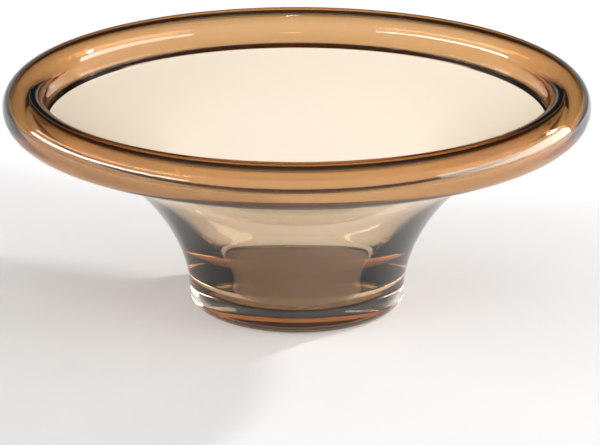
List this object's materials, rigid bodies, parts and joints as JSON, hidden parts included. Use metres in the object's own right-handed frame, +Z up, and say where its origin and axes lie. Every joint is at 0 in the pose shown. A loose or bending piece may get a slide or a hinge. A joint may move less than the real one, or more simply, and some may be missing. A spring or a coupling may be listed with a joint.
{
  "type": "art glass bowl",
  "caption": "Shallow blown bowl of cased glass, clear outside and amber inside, with a flared wall on a thick round foot and a hollow rolled rim.",
  "frame": {"origin": "centre of the flat resting face under the foot", "axes": "+Z up along the bowl's axis, from the foot to the rim; the bowl is round, so X and Y are alike"},
  "size_m": [0.31, 0.31, 0.1225],
  "materials": {
    "clear_glass": "fire-polished clear glass",
    "amber_glass": "fire-polished transparent amber glass"
  },
  "bodies": {
    "root": {"clear_foot": "clear_glass", "clear_casing": "clear_glass", "amber_lining": "amber_glass", "amber_rim_skin": "amber_glass", "clear_rim_core": "clear_glass"}
  },
  "joints": []
}
